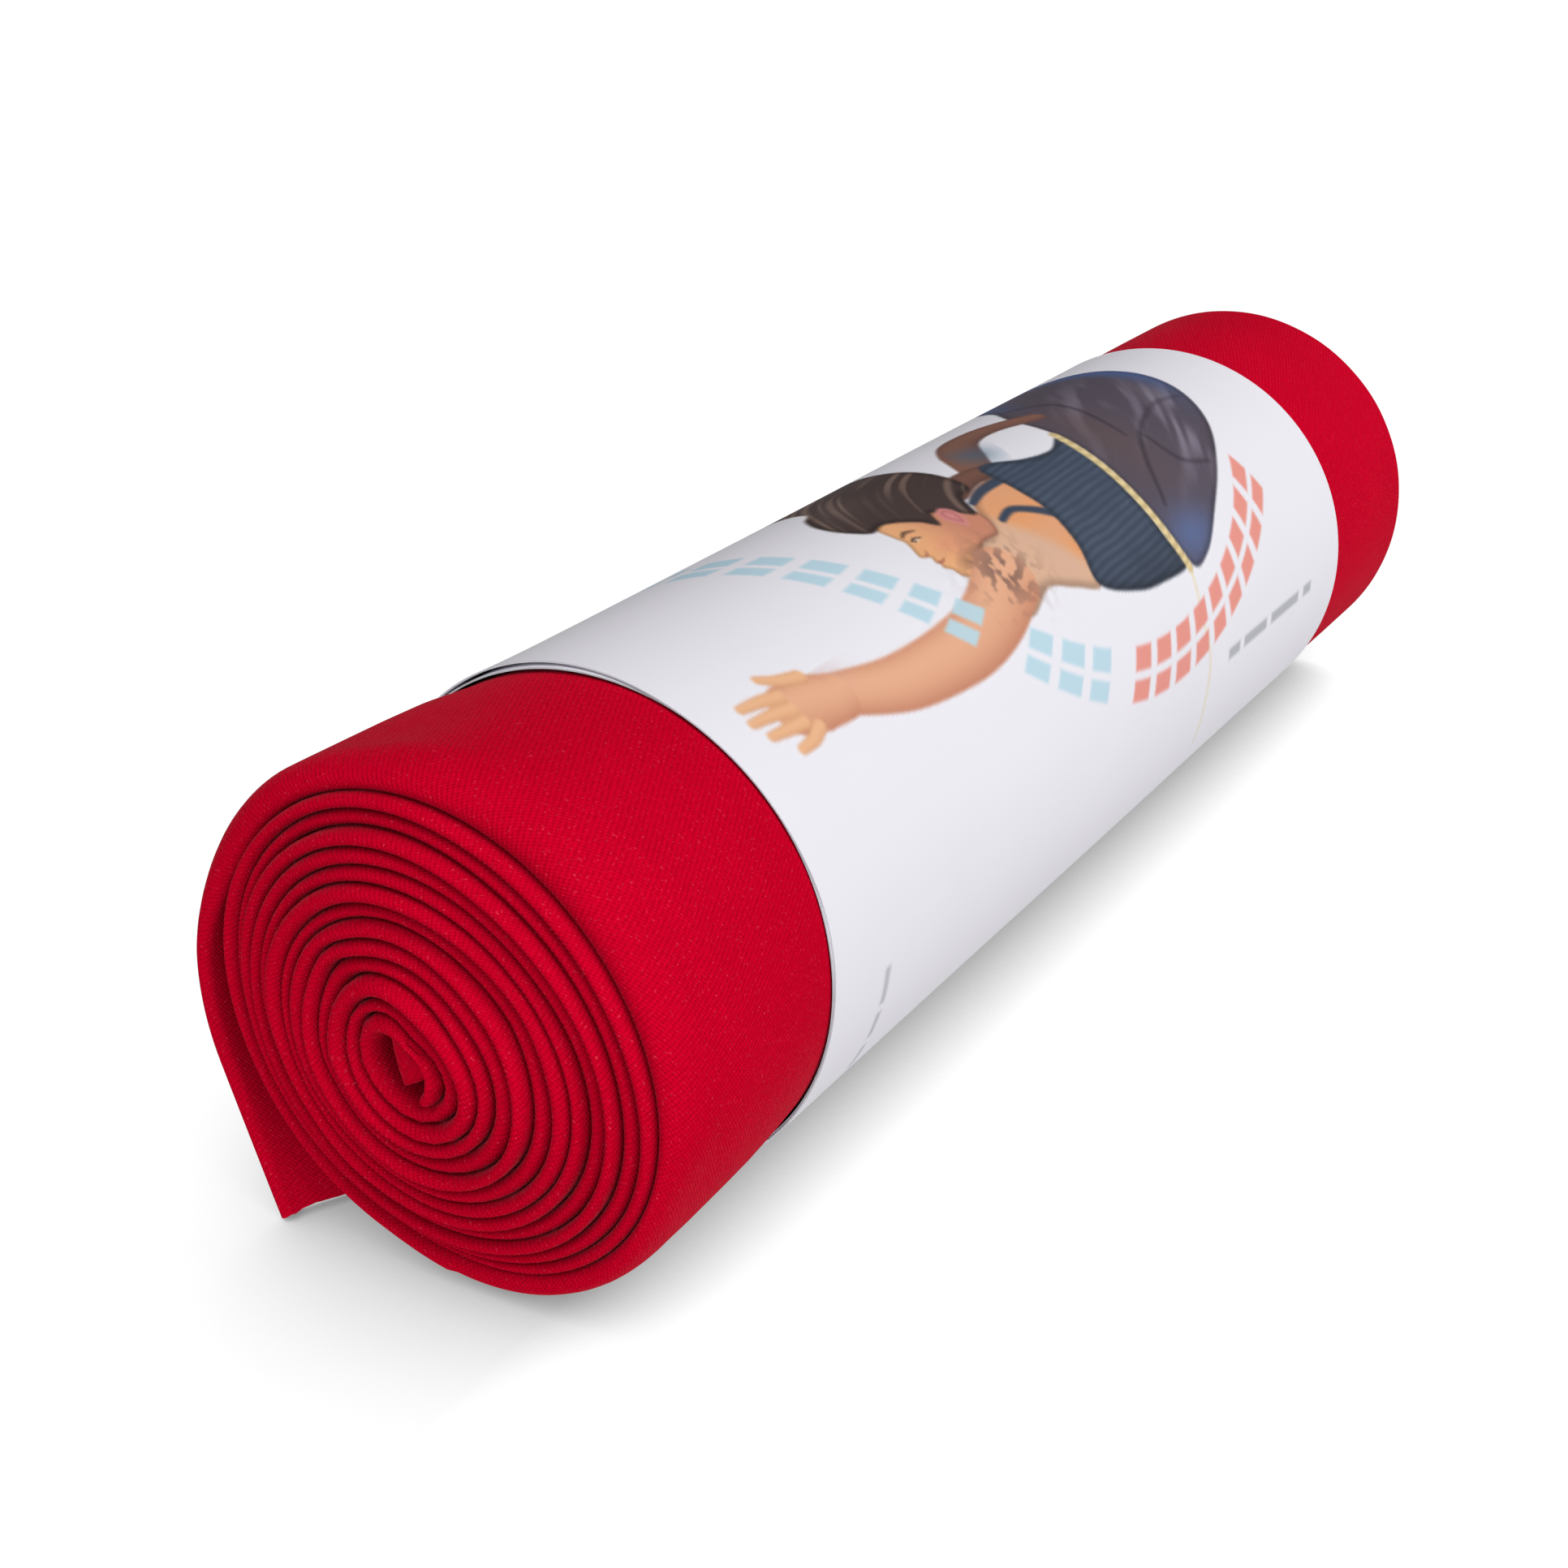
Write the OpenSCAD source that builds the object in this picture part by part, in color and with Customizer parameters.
// A stretch band of soft knit, doubled lengthwise and rolled up, held by a folded paper sleeve.
// The roll lies along X with its rounded folds at -X, on the floor at Z = 0.
// The origin is the middle of the underside of the whole object.

/* [Cloth roll] */
// Diameter of the wound cloth under the sleeve
roll_d = 54.2; // [48:0.1:60]
// How much the roll flares where the sleeve doesn't hold it
flare = 2.2; // [0:0.1:4]
// Thickness of the doubled cloth, which is one turn of the roll
cloth_t = 2; // [1.6:0.1:2.4]
// Length of cloth between the near rim and the sleeve
near_overhang = 26.5; // [20:0.5:40]
// Length of cloth between the sleeve and the far end
far_overhang = 29.6; // [15:0.1:40]
// Diameter of the folded start in the middle of the roll
core_d = 9; // [6:0.5:14]
// How far the folded start pushes out past the near rim
core_push = 4.7; // [2:0.1:8]
// Turns of cloth between the folded start and the last turn
turns = 12; // [6:1:14]
// Depth of the grooves between the turns' rounded folds
groove = 0.7; // [0.3:0.1:1.2]

/* [Loose corner] */
// How far the loose corner of the last turn stands out from the roll's axis
corner_reach = 30.2; // [30:0.1:34]
// Radius of the bend where the loose corner leaves the roll
corner_bend_r = 28.8; // [28:0.1:29]
// Slope of the straight lower part of the loose corner, from the vertical
corner_slope = 21; // [15:1:22]
// Angle round its bend, from straight up, at which the corner comes loose
corner_start = 47; // [43:1:57]
// Height of the corner's widest point below the roll's axis
corner_drop = 1; // [0:0.5:3]

/* [Paper sleeve] */
// Length of the sleeve along the roll, the short side of an A5 leaflet
sleeve_len = 148.5; // [120:0.5:160]
// Thickness of one leaf of paper
leaf_t = 0.25; // [0.15:0.05:0.35]
// How much further the inner leaf reaches than the outer one at the near edge
leaf_step = 0.6; // [0.1:0.1:2]
// Angle of the leaflet's overlap round the roll
overlap_deg = 72; // [40:1:76]
// Diameter of the glue spots in the overlap
glue_d = 8; // [5:0.5:12]

/* [Resting face] */
// How far the sleeve is pressed flat by the weight of the roll
press = 0.45; // [0.3:0.05:0.8]

/* [Hidden] */
$fn = 96;
layer_gap = 0.1;
sliding_gap = 0.15;
roll_r = roll_d / 2;
flare_r = (roll_d + flare) / 2;
overlap_start = 86;
leaf_facet = 4;
glue_t = 0.08;
glue_places = [0.2, 0.8];
glue_depth = 0.7;
flare_taper = 2;
seat_clear = 1;
turn_end = 160;
corner_gap_deg = 1;
corner_facets = 16;
corner_clear = 1.5;

// Radii of the leaves, from the cloth outwards.
inner_leaf_r = roll_r + sliding_gap;
outer_leaf_r = inner_leaf_r + leaf_t + layer_gap;
sleeve_r = outer_leaf_r + leaf_t;
overlap_step = 2 * (leaf_t + layer_gap);

// The axis of the roll above the floor, and where things lie along it.
axis_z = sleeve_r - press;
axis_y = (flare_r - corner_reach) / 2;
roll_len = core_push + near_overhang + sleeve_len + far_overhang;
core_x = -roll_len / 2;
rim_x = core_x + core_push;
sleeve_x = rim_x + near_overhang;
far_x = roll_len / 2;
seat_x = sleeve_x - seat_clear;
flare_end_x = seat_x - flare_taper;

// Radii of the cloth's turns, inside the flared end and inside the sleeve.
turns_flare_r = flare_r - cloth_t - layer_gap;
turns_roll_r = roll_r - cloth_t - layer_gap;
core_hole_r = core_d / 2 + layer_gap;

// Turns a profile of [distance along X, radius] points about the roll's axis.
module turned(profile) {
  translate([0, axis_y, axis_z]) rotate([0, 90, 0])
    rotate_extrude() polygon([for (p = profile) [p[1], p[0]]]);
}

// Sweeps a flat section along X; in the section, X is the row's Y and Y is height above the axis.
module along(x0, x1) {
  translate([x0, axis_y, axis_z]) rotate([90, 0, 90]) linear_extrude(x1 - x0) children();
}

// A point at an angle from the top, counted towards +Y.
function around(r, a) = [r * sin(a), r * cos(a)];

// The space between two angles, out to twice r.
module wedge(r, a0, a1) {
  steps = 6;
  polygon(concat([[0, 0]], [for (i = [0 : steps]) around(2 * r, a0 + (a1 - a0) * i / steps)]));
}

// Everything under a height, along a stretch of the roll.
module below(x0, x1, height) {
  translate([x0 - 1, axis_y - flare_r, height - flare_r]) cube([x1 - x0 + 2, 2 * flare_r, flare_r]);
}

// A rounded nose from the radius r0 to r1 at the cloth's near edge, as profile points.
function nose(x, r0, r1) = let (r = (r1 - r0) / 2)
  [for (a = [0 : 30 : 180]) [x + r - r * sin(a), r0 + r - r * cos(a)]];

// How far along X the near end lies at a radius: bulged towards the folded start.
function dome_x(r) = rim_x - core_push * (1 - pow(r / turns_flare_r, 2));

// One edge of the leaflet in section: round the roll once, then on over its own start,
// and pressed flat below.
function leaf_path(r) = [
  for (a = [overlap_start : leaf_facet : 360 + overlap_start + overlap_deg])
    let (lift = overlap_step * min(1, max(0, (a - 360 - overlap_start) / leaf_facet + 1)),
         p = around(r + lift, a))
    [p[0], max(p[1], press - r)]
];

// One face of the loose corner in section: round its bend, then straight down to the floor.
function corner_path(r) =
  let (bend = [corner_reach - corner_bend_r, -corner_drop],
       bend_end = 90 + corner_slope,
       facet = (bend_end - corner_start) / corner_facets,
       foot = bend + around(r, bend_end))
  concat([for (i = [0 : corner_facets]) bend + around(r, corner_start + facet * i)],
         [[foot[0] - tan(corner_slope) * (foot[1] + axis_z), -axis_z]]);

// The strip between two paths.
module strip(inside, outside) {
  polygon(concat(outside, [for (i = [len(inside) - 1 : -1 : 0]) inside[i]]));
}

// The folded start, a rounded plug as long as the roll.
module band_core() {
  color("firebrick") turned(concat([[core_x, 0]], nose(core_x, core_d / 2 - cloth_t, core_d / 2),
                                   [[far_x, core_d / 2], [far_x, 0]]));
}

// The turns under the last one, domed towards the core at the near end.
module band_turns() {
  points_a_turn = 4;
  steps = turns * points_a_turn;
  color("crimson") turned(concat(
    [for (i = [0 : steps])
      let (r = core_hole_r + (turns_flare_r - core_hole_r) * i / steps)
      [dome_x(r) + groove * (1 - abs(sin(180 * i / points_a_turn))), r]],
    [[flare_end_x, turns_flare_r], [seat_x, turns_roll_r], [far_x, turns_roll_r], [far_x, core_hole_r]]
  ));
}

// The last turn, open where the loose corner leaves it, and flat where it rests.
module band_outer_turn() {
  color("red") difference() {
    turned(concat(nose(rim_x, turns_flare_r + layer_gap, flare_r), [
      [flare_end_x, flare_r], [seat_x, roll_r], [far_x, roll_r],
      [far_x, turns_roll_r + layer_gap], [seat_x, turns_roll_r + layer_gap],
      [flare_end_x, turns_flare_r + layer_gap]
    ]));
    // the corner's opening in the near end, down to where the turn before it comes out
    along(rim_x - 1, flare_end_x) wedge(flare_r, corner_start - corner_gap_deg, turn_end);
    // the floor under the near end, and the sleeve's flat under the rest
    below(rim_x, seat_x, 0);
    below(seat_x, far_x, axis_z - roll_r + press);
  }
}

// The free corner of the cloth's end, which hinges on the line where it comes loose.
module band_loose_corner() {
  color("red") along(rim_x, flare_end_x - corner_clear)
    strip(corner_path(corner_bend_r - cloth_t), corner_path(corner_bend_r));
}

// The printed leaf that shows.
module sleeve_outer_leaf() {
  color("white") along(sleeve_x, sleeve_x + sleeve_len - leaf_t)
    strip(leaf_path(outer_leaf_r), leaf_path(sleeve_r));
}

// The leaf against the cloth.
module sleeve_inner_leaf() {
  color("gainsboro") along(sleeve_x - leaf_step, sleeve_x + sleeve_len - leaf_t)
    strip(leaf_path(inner_leaf_r), leaf_path(inner_leaf_r + leaf_t));
}

// The leaflet's fold, which joins the two leaves round the far edge.
module sleeve_fold() {
  color("whitesmoke") along(sleeve_x + sleeve_len - leaf_t, sleeve_x + sleeve_len)
    strip(leaf_path(inner_leaf_r), leaf_path(sleeve_r));
}

// Two spots of glue between the leaflet's ends.
module glue_spots() {
  spot_angle = overlap_start + overlap_deg * glue_depth;
  color("khaki") intersection() {
    along(sleeve_x, sleeve_x + sleeve_len) difference() {
      circle(sleeve_r + glue_t);
      circle(sleeve_r);
    }
    translate([0, axis_y, axis_z]) rotate([-spot_angle, 0, 0])
      for (place = glue_places)
        translate([sleeve_x + place * sleeve_len, 0, 0]) cylinder(h = 2 * sleeve_r, d = glue_d);
  }
}

band_core();
band_turns();
band_outer_turn();
band_loose_corner();
sleeve_outer_leaf();
sleeve_inner_leaf();
sleeve_fold();
glue_spots();
